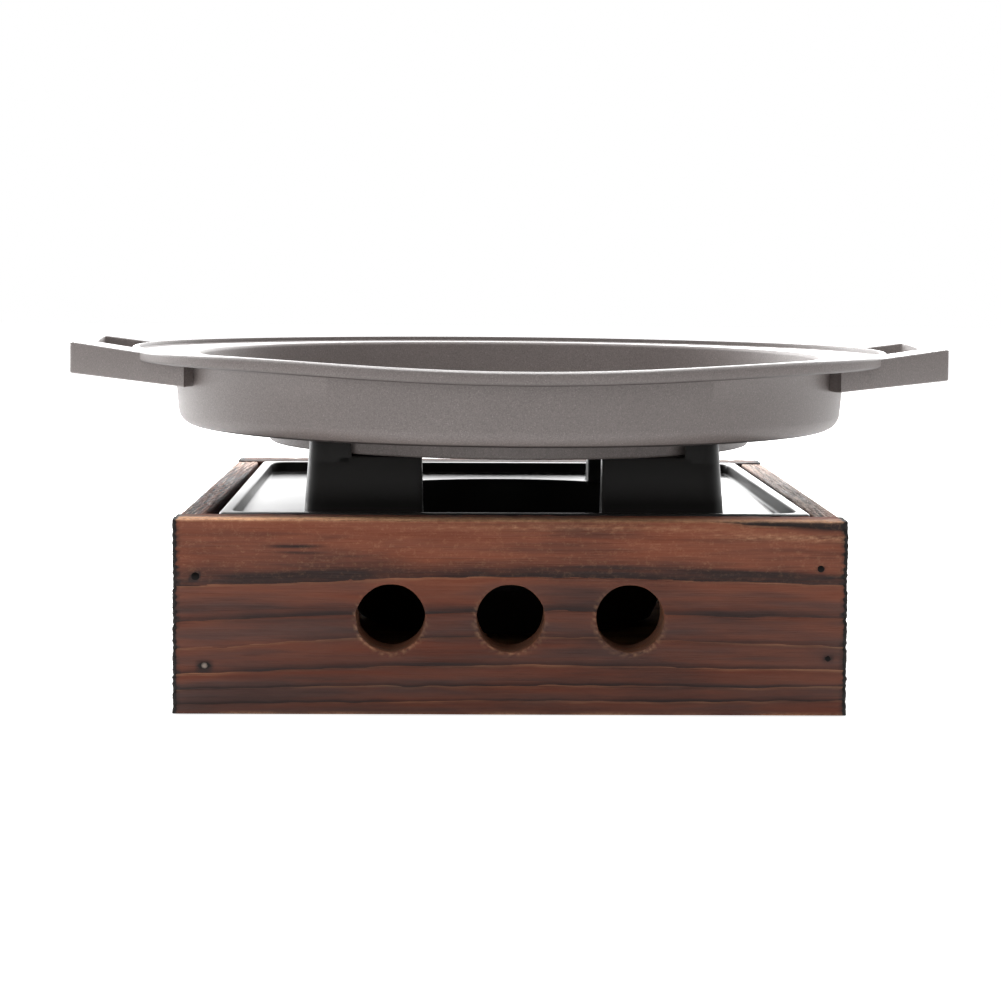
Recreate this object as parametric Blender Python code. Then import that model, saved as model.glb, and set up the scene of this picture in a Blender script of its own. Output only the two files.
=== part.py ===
"""Table-top charcoal grill: a scorched wooden box, a black cast stove set into it, and a grey cast pan.

Units are metres, +Z is up, +Y points away from the front board.
The origin is on the table, below the middle of the pan.
"""
import math

import bmesh
import bpy
from mathutils import Matrix, Vector

for old_object in list(bpy.data.objects):
    bpy.data.objects.remove(old_object, do_unlink=True)

# Wooden box, which sits a little to the left of the pan's middle
box_offset_x = -0.0010
box_width = 0.2000
box_depth = 0.2120
box_height = 0.0580
board_thickness = 0.0145
edge_ease = 0.0008
joint_gap = 0.0003
rebate_width = 0.0068
air_hole_radius = 0.0101
air_hole_pitch = 0.0355
air_holes_per_board = 3

# Base panel on two cleats
cleat_width = 0.0080
cleat_height = 0.0075
cleat_lift = 0.0005
panel_thickness = 0.0040

# Nails
nail_shank_radius = 0.0008
nail_head_radius = 0.0014
nail_head_height = 0.0010
nail_shoulder = 0.0001
nail_clearance = 0.0003
corner_nail_length = 0.0320
cleat_nail_length = 0.0140
cleat_nail_spread = 0.0600
# Side, distance from the board's end, and height above its bottom edge or (negative) below its top edge
front_nail_spots = ((-1, 0.0066, -0.0168), (-1, 0.0093, 0.0147), (1, 0.0079, -0.0138), (1, 0.0055, 0.0174))
back_nail_spots = ((-1, 0.0070, -0.0160), (-1, 0.0070, 0.0160), (1, 0.0070, -0.0160), (1, 0.0070, 0.0160))

# Stove tray, turned a little in its opening
tray_side_gap = 0.0020
tray_corner_radius = 0.0024
tray_height = 0.0088
tray_proud = 0.0004
tray_rim_width = 0.0036
pocket_depth = 0.0041
pocket_corner_radius = 0.0060
stove_offset_x = -0.0006
stove_turn = math.radians(0.6)

# Posts that carry the pan, cut from a square tower with a round well through it
tower_offset_x = 0.0008
post_draft = 0.0019
post_corner_radius = 0.0070
post_end_wall = 0.0080
post_root = 0.0020
post_gap = 0.0556
back_post_gap = 0.0630
post_gap_flare = 0.0006
post_ledge_height = 0.0194
lug_height = 0.0057
lug_depth = 0.0051

# Round skirt below the tray, with the ledge that carries the fire bowl
skirt_wall = 0.0036
skirt_depth = 0.0180
bowl_ledge_width = 0.0050
bowl_ledge_thickness = 0.0030

# Fire bowl and charcoal grate
bowl_rim_thickness = 0.0024
bowl_wall = 0.0036
bowl_taper = 0.0050
bowl_clearance = 0.0006
bowl_floor_gap = 0.0030
bowl_air_holes = 8
bowl_air_hole_radius = 0.0040
bowl_air_hole_rise = 0.0092
grate_seat_rise = 0.0150
grate_seat_width = 0.0040
grate_thickness = 0.0040
grate_clearance = 0.0005
grate_slot_width = 0.0050
grate_slot_pitch = 0.0102
grate_rim = 0.0090

# Grill pan, turned a little the other way and a hair higher on its left
pan_turn = math.radians(-0.5)
pan_tilt = math.radians(0.18)
pan_seat_gap = 0.0003
foot_radius = 0.0813
foot_draft = 0.0005
foot_height = 0.0058
foot_clearance = 0.0020
notch_offset_x = 0.0008
body_radius = 0.1118
body_draft = 0.0012
body_fillet = 0.0055
body_height = 0.0212
body_wall = 0.0086
floor_thickness = 0.0058
opening_round = 0.0030
inner_fillet = 0.0040
flange_overhang = 0.0070
flange_side_extra = 0.0075
flange_thickness = 0.0027
lip_height = 0.0015
lip_width = 0.0028
cast_edge_ease = 0.0005
sag_depth = 0.0024
sag_half_width = 0.0840
sag_middle_x = 0.0080
rib_pitch = 0.0140
rib_width = 0.0030
rib_height = 0.0036
rib_end_gap = 0.0035

# Loop handles of the pan, which narrow outwards
handle_slot_depth = 0.0115
handle_bar_width = 0.0075
handle_end_half = 0.0192
handle_root_half = 0.0540
handle_root_inset = 0.0090
handle_root_overlap = 0.0080
slot_end_half = 0.0125
slot_corner_radius = 0.0025
handle_end_rise = 0.0059
handle_end_depth = 0.0105
handle_low_slope = 0.0580
handle_top_slope = 0.0960
handle_corner_radius = 0.0040

# Numbers of flat faces round the curved parts
hole_segments = 40
nail_segments = 8
bowl_segments = 60
pan_segments = 88

# Places in the box that follow from the sizes above
opening_width_x = box_width - 2 * (board_thickness - rebate_width)
inside_half_x = box_width / 2 - board_thickness
inside_half_y = box_depth / 2 - board_thickness
panel_low_z = cleat_lift + cleat_height + joint_gap
panel_top_z = panel_low_z + panel_thickness

# The stove's heights and plan sizes
rim_top_z = box_height + tray_proud
tray_floor_z = rim_top_z - pocket_depth
tray_under_z = rim_top_z - tray_height
rebate_floor_z = tray_under_z - joint_gap
tray_width_x = opening_width_x - 2 * tray_side_gap
tray_width_y = 2 * inside_half_y - 2 * tray_side_gap
ledge_z = tray_floor_z + post_ledge_height
lug_top_z = ledge_z + lug_height
post_corner_reach = foot_radius + foot_clearance + lug_depth
post_half_top = (post_corner_reach + (math.sqrt(2) - 1) * post_corner_radius) / math.sqrt(2)
post_half_foot = post_half_top + post_draft
well_radius = math.hypot(post_gap / 2, post_half_foot - post_end_wall)
bowl_ledge_z = tray_floor_z - skirt_depth
bowl_ledge_radius = well_radius - bowl_ledge_width

# The fire bowl's heights and radii
bowl_seat_z = bowl_ledge_z + joint_gap
bowl_top_z = bowl_seat_z + bowl_rim_thickness
bowl_under_z = panel_top_z + bowl_floor_gap
bowl_neck_radius = bowl_ledge_radius - bowl_clearance
grate_seat_z = bowl_under_z + grate_seat_rise

# The pan's heights and radii
pan_foot_z = ledge_z + pan_seat_gap
pan_body_z = pan_foot_z + foot_height
flange_under_z = pan_body_z + body_height
flange_top_z = flange_under_z + flange_thickness
body_radius_top = body_radius + body_draft
opening_radius = body_radius_top - body_wall
flange_radius = body_radius_top + flange_overhang
slot_far = flange_radius + flange_side_extra + handle_slot_depth
handle_reach = slot_far + handle_bar_width
handle_root = body_radius_top - handle_root_inset
arm_slope = (handle_root_half - handle_end_half) / (handle_reach - handle_root)


def new_material(name, colour, roughness, metallic):
    """Principled BSDF material with one base colour."""
    material = bpy.data.materials.new(name)
    material.use_nodes = True
    shader = material.node_tree.nodes["Principled BSDF"]
    shader.inputs["Base Color"].default_value = (*colour, 1.0)
    shader.inputs["Roughness"].default_value = roughness
    shader.inputs["Metallic"].default_value = metallic
    return material


scorched_wood = new_material("scorched_wood", (0.17, 0.075, 0.042), 0.80, 0.0)
plain_wood = new_material("plain_wood", (0.46, 0.30, 0.17), 0.80, 0.0)
nail_steel = new_material("nail_steel", (0.22, 0.19, 0.17), 0.45, 0.9)
black_cast_iron = new_material("black_cast_iron", (0.012, 0.012, 0.013), 0.38, 0.3)
bare_cast_iron = new_material("bare_cast_iron", (0.05, 0.048, 0.046), 0.65, 0.6)
grey_cast_iron = new_material("grey_cast_iron", (0.25, 0.22, 0.215), 0.60, 0.3)


def finish_object(name, mesh_data, material=None, parent=None, smooth_angle=30.0):
    """Turn a bmesh into an object, shaded smooth but for its sharp edges."""
    bmesh.ops.recalc_face_normals(mesh_data, faces=mesh_data.faces)
    mesh = bpy.data.meshes.new(name)
    mesh_data.to_mesh(mesh)
    mesh_data.free()
    mesh.shade_smooth()
    mesh.set_sharp_from_angle(angle=math.radians(smooth_angle))
    result = bpy.data.objects.new(name, mesh)
    bpy.context.scene.collection.objects.link(result)
    if material is not None:
        mesh.materials.append(material)
    if parent is not None:
        result.parent = parent
    return result


def hidden_tool(name, mesh_data, parent=None):
    """An object used only by Boolean modifiers."""
    tool = finish_object(name, mesh_data, parent=parent)
    tool.hide_render = True
    tool.display_type = "WIRE"
    return tool


def add_boolean(target, tool, operation):
    modifier = target.modifiers.new(operation.lower() + "_" + tool.name, "BOOLEAN")
    modifier.operation = operation
    modifier.object = tool
    modifier.solver = "EXACT"


def add_bevel(target, width, segments=1):
    modifier = target.modifiers.new("eased_edges", "BEVEL")
    modifier.width = width
    modifier.segments = segments
    modifier.limit_method = "ANGLE"
    modifier.angle_limit = math.radians(40)


def rounded_rectangle(width, depth, radius, corner_steps=5):
    """Anticlockwise outline of a rectangle with round corners, centred on the origin."""
    points = []
    for corner, (sign_x, sign_y) in enumerate(((1, 1), (-1, 1), (-1, -1), (1, -1))):
        centre_x = sign_x * (width / 2 - radius)
        centre_y = sign_y * (depth / 2 - radius)
        for step in range(corner_steps + 1):
            angle = math.pi / 2 * (corner + step / corner_steps)
            points.append((centre_x + radius * math.cos(angle), centre_y + radius * math.sin(angle)))
    return points


def circle_outline(radius, segments):
    angles = [2 * math.pi * step / segments for step in range(segments)]
    return [(radius * math.cos(angle), radius * math.sin(angle)) for angle in angles]


def add_loft(mesh_data, rings):
    """Closed solid through rings that have the same number of points, capped at both ends."""
    rows = [[mesh_data.verts.new(point) for point in ring] for ring in rings]
    count = len(rings[0])
    for low_row, high_row in zip(rows, rows[1:]):
        for step in range(count):
            following = (step + 1) % count
            mesh_data.faces.new((low_row[step], low_row[following], high_row[following], high_row[step]))
    mesh_data.faces.new(list(reversed(rows[0])))
    mesh_data.faces.new(rows[-1])


def add_prism(mesh_data, outline, low_z, high_z, high_outline=None):
    top_outline = outline if high_outline is None else high_outline
    low_ring = [(x, y, low_z) for x, y in outline]
    high_ring = [(x, y, high_z) for x, y in top_outline]
    add_loft(mesh_data, (low_ring, high_ring))


def add_box(mesh_data, low_corner, high_corner):
    (x0, y0, z0), (x1, y1, z1) = low_corner, high_corner
    add_prism(mesh_data, ((x0, y0), (x1, y0), (x1, y1), (x0, y1)), z0, z1)


def add_rod(mesh_data, start, direction, stations, segments):
    """Turned rod along a direction: stations are (distance from start, radius)."""
    turn = Vector(direction).to_track_quat("Z", "Y").to_matrix()
    rings = []
    for distance, radius in stations:
        ring = [turn @ Vector((x, y, distance)) for x, y in circle_outline(radius, segments)]
        rings.append([Vector(start) + point for point in ring])
    add_loft(mesh_data, rings)


def add_turned(mesh_data, profile, segments):
    """Solid of revolution about Z; the profile starts and ends on the axis."""
    rows = []
    for radius, height in profile[1:-1]:
        rows.append([mesh_data.verts.new((x, y, height)) for x, y in circle_outline(radius, segments)])
    first = mesh_data.verts.new((0, 0, profile[0][1]))
    last = mesh_data.verts.new((0, 0, profile[-1][1]))
    for step in range(segments):
        following = (step + 1) % segments
        mesh_data.faces.new((first, rows[0][following], rows[0][step]))
        mesh_data.faces.new((last, rows[-1][step], rows[-1][following]))
        for row, next_row in zip(rows, rows[1:]):
            mesh_data.faces.new((row[step], row[following], next_row[following], next_row[step]))


def add_empty(name, location, turn=0.0, tilt=0.0):
    """Empty that its pieces hang on: turned about Z, and tilted about Y with its right side down."""
    empty = bpy.data.objects.new(name, None)
    empty.location = location
    empty.rotation_euler = (0, tilt, turn)
    bpy.context.scene.collection.objects.link(empty)
    return empty


def nail_stations(length, clearance):
    """Distance and radius pairs of a headed nail, or of the hole that it sits in."""
    head_end = nail_head_height + clearance
    mouth = -nail_head_height if clearance > 0 else 0.0
    return (
        (mouth, nail_head_radius + clearance),
        (head_end, nail_head_radius + clearance),
        (head_end + nail_shoulder, nail_shank_radius + clearance),
        (length + clearance, nail_shank_radius + clearance),
    )


def make_nail(name, start, direction, length):
    nail = bmesh.new()
    add_rod(nail, start, direction, nail_stations(length, 0.0), nail_segments)
    finish_object(name, nail, nail_steel, box_axis)


def add_nail_hole(mesh_data, start, direction, length):
    add_rod(mesh_data, start, direction, nail_stations(length, nail_clearance), nail_segments)


def corner_nails(side, spots):
    """Start point and direction of the nails through the front (-1) or the back board (+1)."""
    nails = []
    for end, from_end, from_edge in spots:
        height = from_edge if from_edge > 0 else box_height + from_edge
        start = (end * (box_width / 2 - from_end), side * box_depth / 2, height)
        nails.append((start, (0, -side, 0)))
    return nails


def cleat_nails(side):
    """Nails driven outwards through a cleat into the left (-1) or the right board (+1)."""
    nails = []
    for along in (-1, 1):
        inner_face = side * (inside_half_x - joint_gap - cleat_width)
        start = (inner_face, along * cleat_nail_spread, cleat_lift + cleat_height / 2)
        nails.append((start, (side, 0, 0)))
    return nails


box_axis = add_empty("box_axis", (box_offset_x, 0, 0))
front_nails = corner_nails(-1, front_nail_spots)
back_nails = corner_nails(1, back_nail_spots)


def make_end_board(name, side, nails):
    """Full-width board at the front (-1) or at the back (+1), with its round air holes."""
    outer_y = side * box_depth / 2
    inner_y = side * inside_half_y
    board_mesh = bmesh.new()
    low_y, high_y = sorted((outer_y, inner_y))
    add_box(board_mesh, (-box_width / 2, low_y, 0), (box_width / 2, high_y, box_height))
    board = finish_object(name, board_mesh, scorched_wood, box_axis)
    add_bevel(board, edge_ease, 2)
    holes = bmesh.new()
    middle = (air_holes_per_board - 1) / 2
    for index in range(air_holes_per_board):
        start = ((index - middle) * air_hole_pitch, outer_y + side * board_thickness, box_height / 2)
        stations = ((0, air_hole_radius), (3 * board_thickness, air_hole_radius))
        add_rod(holes, start, (0, -side, 0), stations, hole_segments)
    for start, direction in nails:
        add_nail_hole(holes, start, direction, corner_nail_length)
    add_boolean(board, hidden_tool(name + "_holes", holes, box_axis), "DIFFERENCE")


make_end_board("front_board", -1, front_nails)
make_end_board("back_board", 1, back_nails)


def make_side_board(name, side):
    """Board between the end boards, with a rebate along its top that carries the stove tray."""
    low_x, high_x = sorted((side * box_width / 2, side * inside_half_x))
    half_length = inside_half_y - joint_gap
    board_mesh = bmesh.new()
    add_box(board_mesh, (low_x, -half_length, 0), (high_x, half_length, box_height))
    board = finish_object(name, board_mesh, scorched_wood, box_axis)
    add_bevel(board, edge_ease, 2)
    rebate = bmesh.new()
    low_x, high_x = sorted((0, side * opening_width_x / 2))
    add_box(rebate, (low_x, -box_depth, rebate_floor_z), (high_x, box_depth, 2 * box_height))
    add_boolean(board, hidden_tool(name + "_rebate", rebate, box_axis), "DIFFERENCE")
    holes = bmesh.new()
    for start, direction in front_nails + back_nails:
        if start[0] * side > 0:
            add_nail_hole(holes, start, direction, corner_nail_length)
    for start, direction in cleat_nails(side):
        add_nail_hole(holes, start, direction, cleat_nail_length)
    add_boolean(board, hidden_tool(name + "_holes", holes, box_axis), "DIFFERENCE")


make_side_board("left_board", -1)
make_side_board("right_board", 1)


def make_cleat(name, side):
    near_x = side * (inside_half_x - joint_gap)
    far_x = near_x - side * cleat_width
    low_x, high_x = sorted((near_x, far_x))
    half_length = inside_half_y - joint_gap
    cleat_mesh = bmesh.new()
    add_box(cleat_mesh, (low_x, -half_length, cleat_lift), (high_x, half_length, cleat_lift + cleat_height))
    cleat = finish_object(name, cleat_mesh, plain_wood, box_axis)
    holes = bmesh.new()
    for start, direction in cleat_nails(side):
        add_nail_hole(holes, start, direction, cleat_nail_length)
    add_boolean(cleat, hidden_tool(name + "_holes", holes, box_axis), "DIFFERENCE")


make_cleat("left_cleat", -1)
make_cleat("right_cleat", 1)


def make_base_panel():
    half_x = inside_half_x - joint_gap
    half_y = inside_half_y - joint_gap
    panel_mesh = bmesh.new()
    add_box(panel_mesh, (-half_x, -half_y, panel_low_z), (half_x, half_y, panel_top_z))
    finish_object("base_panel", panel_mesh, plain_wood, box_axis)


make_base_panel()

for number, (start, direction) in enumerate(front_nails + back_nails, 1):
    make_nail(f"corner_nail_{number:02d}", start, direction, corner_nail_length)
for number, (start, direction) in enumerate(cleat_nails(-1) + cleat_nails(1), 1):
    make_nail(f"cleat_nail_{number:02d}", start, direction, cleat_nail_length)

stove_axis = add_empty("stove_axis", (stove_offset_x, 0, 0), stove_turn)
pan_axis = add_empty("pan_axis", (0, 0, 0), pan_turn, pan_tilt)


def add_post_gap(mesh_data, width, turn):
    """Bar from the tower's axis outwards, a little wider at the top, that opens the gap on one side."""
    reach = 2 * post_half_foot
    low_half = width / 2
    high_half = low_half + post_gap_flare
    low_bar = ((0, -low_half), (reach, -low_half), (reach, low_half), (0, low_half))
    high_bar = ((0, -high_half), (reach, -high_half), (reach, high_half), (0, high_half))
    add_prism(mesh_data, low_bar, tray_under_z, lug_top_z + lug_height, high_bar)
    bmesh.ops.rotate(mesh_data, verts=mesh_data.verts, matrix=Matrix.Rotation(turn, 3, "Z"))


def square_outline(half_width, corner_radius, corner_steps):
    return rounded_rectangle(2 * half_width, 2 * half_width, corner_radius, corner_steps)


def make_posts():
    """Corner posts of a square tower, with a ledge and an outer lug cut on a circle round the pan's foot."""
    tower = bmesh.new()
    add_prism(tower, square_outline(post_half_foot, post_corner_radius, 5), tray_floor_z - post_root,
              lug_top_z, square_outline(post_half_top, post_corner_radius, 5))
    bmesh.ops.translate(tower, verts=tower.verts, vec=(tower_offset_x, 0, 0))
    posts = hidden_tool("posts", tower, stove_axis)
    sides = (("right", post_gap), ("back", back_post_gap), ("left", post_gap), ("front", post_gap))
    for quarter, (side, width) in enumerate(sides):
        gap = bmesh.new()
        add_post_gap(gap, width, quarter * math.pi / 2)
        add_boolean(posts, hidden_tool(side + "_post_gap", gap, stove_axis), "DIFFERENCE")
    notch = bmesh.new()
    notch_radius = foot_radius + foot_clearance
    add_prism(notch, circle_outline(notch_radius, pan_segments), ledge_z, lug_top_z + joint_gap,
              circle_outline(notch_radius + foot_draft, pan_segments))
    bmesh.ops.translate(notch, verts=notch.verts, vec=(notch_offset_x, 0, 0))
    add_boolean(posts, hidden_tool("foot_notch", notch, pan_axis), "DIFFERENCE")
    return posts


def make_stove_tray():
    """Rectangular tray with a low rim, the four posts, and a round well whose skirt ends in a ledge."""
    slab = bmesh.new()
    outline = rounded_rectangle(tray_width_x, tray_width_y, tray_corner_radius, 3)
    add_prism(slab, outline, tray_under_z, rim_top_z)
    tray = finish_object("stove_tray", slab, black_cast_iron, stove_axis)
    pocket = bmesh.new()
    rim_both = 2 * tray_rim_width
    outline = rounded_rectangle(tray_width_x - rim_both, tray_width_y - rim_both, pocket_corner_radius)
    add_prism(pocket, outline, tray_floor_z, rim_top_z + pocket_depth)
    add_boolean(tray, hidden_tool("tray_pocket", pocket, stove_axis), "DIFFERENCE")
    add_boolean(tray, make_posts(), "UNION")
    skirt_low_z = bowl_ledge_z - bowl_ledge_thickness
    skirt = bmesh.new()
    skirt_outline = circle_outline(well_radius + skirt_wall, bowl_segments)
    add_prism(skirt, skirt_outline, skirt_low_z, (tray_under_z + tray_floor_z) / 2)
    add_boolean(tray, hidden_tool("skirt", skirt, stove_axis), "UNION")
    well = bmesh.new()
    well_profile = (
        (0, skirt_low_z - skirt_wall),
        (bowl_ledge_radius, skirt_low_z - skirt_wall),
        (bowl_ledge_radius, bowl_ledge_z),
        (well_radius, bowl_ledge_z),
        (well_radius, lug_top_z + lug_height),
        (0, lug_top_z + lug_height),
    )
    add_turned(well, well_profile, bowl_segments)
    add_boolean(tray, hidden_tool("well", well, stove_axis), "DIFFERENCE")


make_stove_tray()


def bowl_outer_radius(height):
    """Outer radius of the fire bowl, below its rim, at a height above the table."""
    return bowl_neck_radius - bowl_taper * (bowl_seat_z - height) / (bowl_seat_z - bowl_under_z)


def make_fire_bowl():
    """Round bowl whose rim lies on the skirt's ledge, with a ledge for the grate and air holes."""
    seat_outer_radius = bowl_outer_radius(grate_seat_z)
    foot_outer_radius = bowl_outer_radius(bowl_under_z) - grate_seat_width
    profile = (
        (0, bowl_under_z),
        (foot_outer_radius, bowl_under_z),
        (seat_outer_radius, grate_seat_z),
        (bowl_neck_radius, bowl_seat_z),
        (well_radius - bowl_clearance, bowl_seat_z),
        (well_radius - bowl_clearance, bowl_top_z),
        (bowl_neck_radius - bowl_wall, bowl_top_z),
        (seat_outer_radius - bowl_wall, grate_seat_z),
        (seat_outer_radius - bowl_wall - grate_seat_width, grate_seat_z),
        (foot_outer_radius - bowl_wall, bowl_under_z + bowl_wall),
        (0, bowl_under_z + bowl_wall),
    )
    bowl_mesh = bmesh.new()
    add_turned(bowl_mesh, profile, bowl_segments)
    bowl = finish_object("fire_bowl", bowl_mesh, black_cast_iron, stove_axis)
    for index in range(bowl_air_holes // 2):
        angle = 2 * math.pi * (index + 0.5) / bowl_air_holes
        direction = (math.cos(angle), math.sin(angle), 0)
        start = (-direction[0] * well_radius, -direction[1] * well_radius, bowl_under_z + bowl_air_hole_rise)
        stations = ((0, bowl_air_hole_radius), (2 * well_radius, bowl_air_hole_radius))
        hole = bmesh.new()
        add_rod(hole, start, direction, stations, 16)
        add_boolean(bowl, hidden_tool(f"bowl_air_{index}", hole, stove_axis), "DIFFERENCE")


make_fire_bowl()


def make_charcoal_grate():
    """Slotted round grate that rests on the bowl's ledge."""
    low_z = grate_seat_z + joint_gap
    radius = bowl_outer_radius(grate_seat_z) - bowl_wall - grate_clearance
    slot_reach = radius - grate_rim
    slots_each_side = int((slot_reach - grate_slot_width / 2) / grate_slot_pitch)
    plate = bmesh.new()
    add_prism(plate, circle_outline(radius, bowl_segments), low_z, low_z + grate_thickness)
    grate = finish_object("charcoal_grate", plate, bare_cast_iron, stove_axis)
    slots = bmesh.new()
    for index in range(-slots_each_side, slots_each_side + 1):
        middle_x = index * grate_slot_pitch
        half_length = math.sqrt(slot_reach ** 2 - middle_x ** 2)
        slot = rounded_rectangle(grate_slot_width, 2 * half_length, 0.48 * grate_slot_width, 3)
        outline = [(x + middle_x, y) for x, y in slot]
        add_prism(slots, outline, low_z - grate_thickness, low_z + 2 * grate_thickness)
    add_boolean(grate, hidden_tool("grate_slots", slots, stove_axis), "DIFFERENCE")


make_charcoal_grate()


def flange_edge(angle):
    """Outer radius of the flange, wider towards the handles."""
    return flange_radius + flange_side_extra * math.cos(angle) ** 2


def flange_sag(angle):
    """How far the flange dips at the front, a little right of the middle."""
    across = (flange_edge(angle) * math.cos(angle) - sag_middle_x) / sag_half_width
    if math.sin(angle) > 0 or abs(across) > 1:
        return 0.0
    return sag_depth * (1 - across ** 2) ** 2


def arc_points(centre, radius, start_degrees, end_degrees, steps):
    """Points (r, z) on an arc of the pan's section."""
    points = []
    for step in range(steps + 1):
        angle = math.radians(start_degrees + (end_degrees - start_degrees) * step / steps)
        points.append((centre[0] + radius * math.cos(angle), centre[1] + radius * math.sin(angle)))
    return points


def pan_section(angle):
    """Section of the pan from the axis under the foot, round the outside, to the axis inside."""
    edge = flange_edge(angle)
    sag = flange_sag(angle)
    ring_floor_z = pan_body_z + floor_thickness
    lip_z = flange_top_z + lip_height
    ease = cast_edge_ease
    fillet_centre = (body_radius - body_fillet, pan_body_z + body_fillet)
    outside = [(foot_radius, pan_foot_z), (foot_radius + foot_draft, pan_body_z)]
    outside += arc_points(fillet_centre, body_fillet, -90, 0, 4)
    flange = [
        (body_radius_top, flange_under_z),
        (edge - ease, flange_under_z),
        (edge, flange_under_z + ease),
        (edge, lip_z - ease),
        (edge - ease, lip_z),
        (edge - lip_width + ease, lip_z),
        (edge - lip_width - ease, flange_top_z),
    ]
    inner_edge_centre = (opening_radius + opening_round, flange_top_z - opening_round)
    flange += arc_points(inner_edge_centre, opening_round, 90, 180, 3)
    flange = [(radius, height - sag) for radius, height in flange]
    inner_centre = (body_radius - body_wall - inner_fillet, ring_floor_z + inner_fillet)
    inside = arc_points(inner_centre, inner_fillet, 0, -90, 3)
    inside.append((foot_radius + foot_draft - floor_thickness / 2, ring_floor_z))
    inside.append((foot_radius - floor_thickness, pan_foot_z + floor_thickness))
    return outside + flange + inside


def make_pan_bowl():
    """The pan without its handles: every section is the same row of points at another angle."""
    pan_mesh = bmesh.new()
    rows = []
    for step in range(pan_segments):
        angle = 2 * math.pi * step / pan_segments
        points = [(r * math.cos(angle), r * math.sin(angle), z) for r, z in pan_section(angle)]
        rows.append([pan_mesh.verts.new(point) for point in points])
    under = pan_mesh.verts.new((0, 0, pan_foot_z))
    over = pan_mesh.verts.new((0, 0, pan_foot_z + floor_thickness))
    for step in range(pan_segments):
        row = rows[step]
        next_row = rows[(step + 1) % pan_segments]
        pan_mesh.faces.new((under, next_row[0], row[0]))
        pan_mesh.faces.new((over, row[-1], next_row[-1]))
        for index in range(len(row) - 1):
            pan_mesh.faces.new((row[index], next_row[index], next_row[index + 1], row[index + 1]))
    return finish_object("grill_pan", pan_mesh, grey_cast_iron, pan_axis)


def handle_outline():
    """Plan of the right handle, from its front root round the outer bar to its back root."""
    lean = math.atan(arm_slope)
    inward = (-handle_root_overlap * math.sin(lean), handle_root_overlap * math.cos(lean))
    centre_x = handle_reach - handle_corner_radius
    tangent_gap = handle_corner_radius * math.tan((math.pi / 2 - lean) / 2)
    centre_y = handle_end_half - tangent_gap
    front = [(handle_root + inward[0], inward[1] - handle_root_half), (handle_root, -handle_root_half)]
    front += arc_points((centre_x, -centre_y), handle_corner_radius, math.degrees(lean) - 90, 0, 4)
    return front + [(x, -y) for x, y in reversed(front)]


def slot_outline():
    """Plan of the slot in the right handle, from under the flange out to the bar."""
    near_x = handle_root - handle_root_overlap
    near_half = slot_end_half + arm_slope * (slot_far - near_x)
    lean = math.atan(arm_slope)
    centre_x = slot_far - slot_corner_radius
    tangent_gap = slot_corner_radius * math.tan((math.pi / 2 - lean) / 2)
    centre_y = slot_end_half - tangent_gap
    front = [(near_x, -near_half)]
    front += arc_points((centre_x, -centre_y), slot_corner_radius, math.degrees(lean) - 90, 0, 3)
    return front + [(x, -y) for x, y in reversed(front)]


def handle_low(reach):
    """Height of the handle's underside, which rises outwards."""
    return handle_top(handle_reach) - handle_end_depth - handle_low_slope * (handle_reach - reach)


def handle_top(reach):
    """Height of the handle's top, which rises outwards more steeply."""
    return flange_under_z + handle_end_rise - handle_top_slope * (handle_reach - reach)


def make_handle(name, side):
    """Loop handle on the right (+1) or left (-1): two arms and an outer bar that rise outwards."""
    outline = handle_outline()
    handle = bmesh.new()
    low_ring = [(side * x, side * y, handle_low(x)) for x, y in outline]
    high_ring = [(side * x, side * y, handle_top(x)) for x, y in outline]
    add_loft(handle, (low_ring, high_ring))
    blank = hidden_tool(name, handle, pan_axis)
    slot = bmesh.new()
    outline = [(side * x, side * y) for x, y in slot_outline()]
    add_prism(slot, outline, pan_body_z, flange_top_z + body_height)
    add_boolean(blank, hidden_tool(name + "_slot", slot, pan_axis), "DIFFERENCE")
    ledge_space = bmesh.new()
    ledge_radius = flange_radius + flange_side_extra - lip_width
    ledge_space_z = flange_top_z - flange_thickness / 3
    add_prism(ledge_space, circle_outline(ledge_radius, pan_segments), ledge_space_z,
              ledge_space_z + body_height)
    add_boolean(blank, hidden_tool(name + "_ledge", ledge_space, pan_axis), "DIFFERENCE")
    return blank


def make_ribs():
    """Low parallel ribs on the floor of the pan."""
    ribs = bmesh.new()
    floor_z = pan_foot_z + floor_thickness
    circle_radius = foot_radius - floor_thickness - rib_end_gap
    ribs_each_side = int((circle_radius - rib_pitch / 2) / rib_pitch)
    for index in range(-ribs_each_side, ribs_each_side + 1):
        middle_y = index * rib_pitch
        half_length = math.sqrt(circle_radius ** 2 - middle_y ** 2)
        outline = rounded_rectangle(2 * half_length, rib_width, 0.48 * rib_width, 2)
        outline = [(x, y + middle_y) for x, y in outline]
        add_prism(ribs, outline, floor_z - floor_thickness / 3, floor_z + rib_height)
    return hidden_tool("pan_ribs", ribs, pan_axis)


pan = make_pan_bowl()
add_boolean(pan, make_handle("right_handle", 1), "UNION")
add_boolean(pan, make_handle("left_handle", -1), "UNION")
add_boolean(pan, make_ribs(), "UNION")
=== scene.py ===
import math

import bmesh
import bpy
import numpy as np
from mathutils import Matrix, Vector


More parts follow.
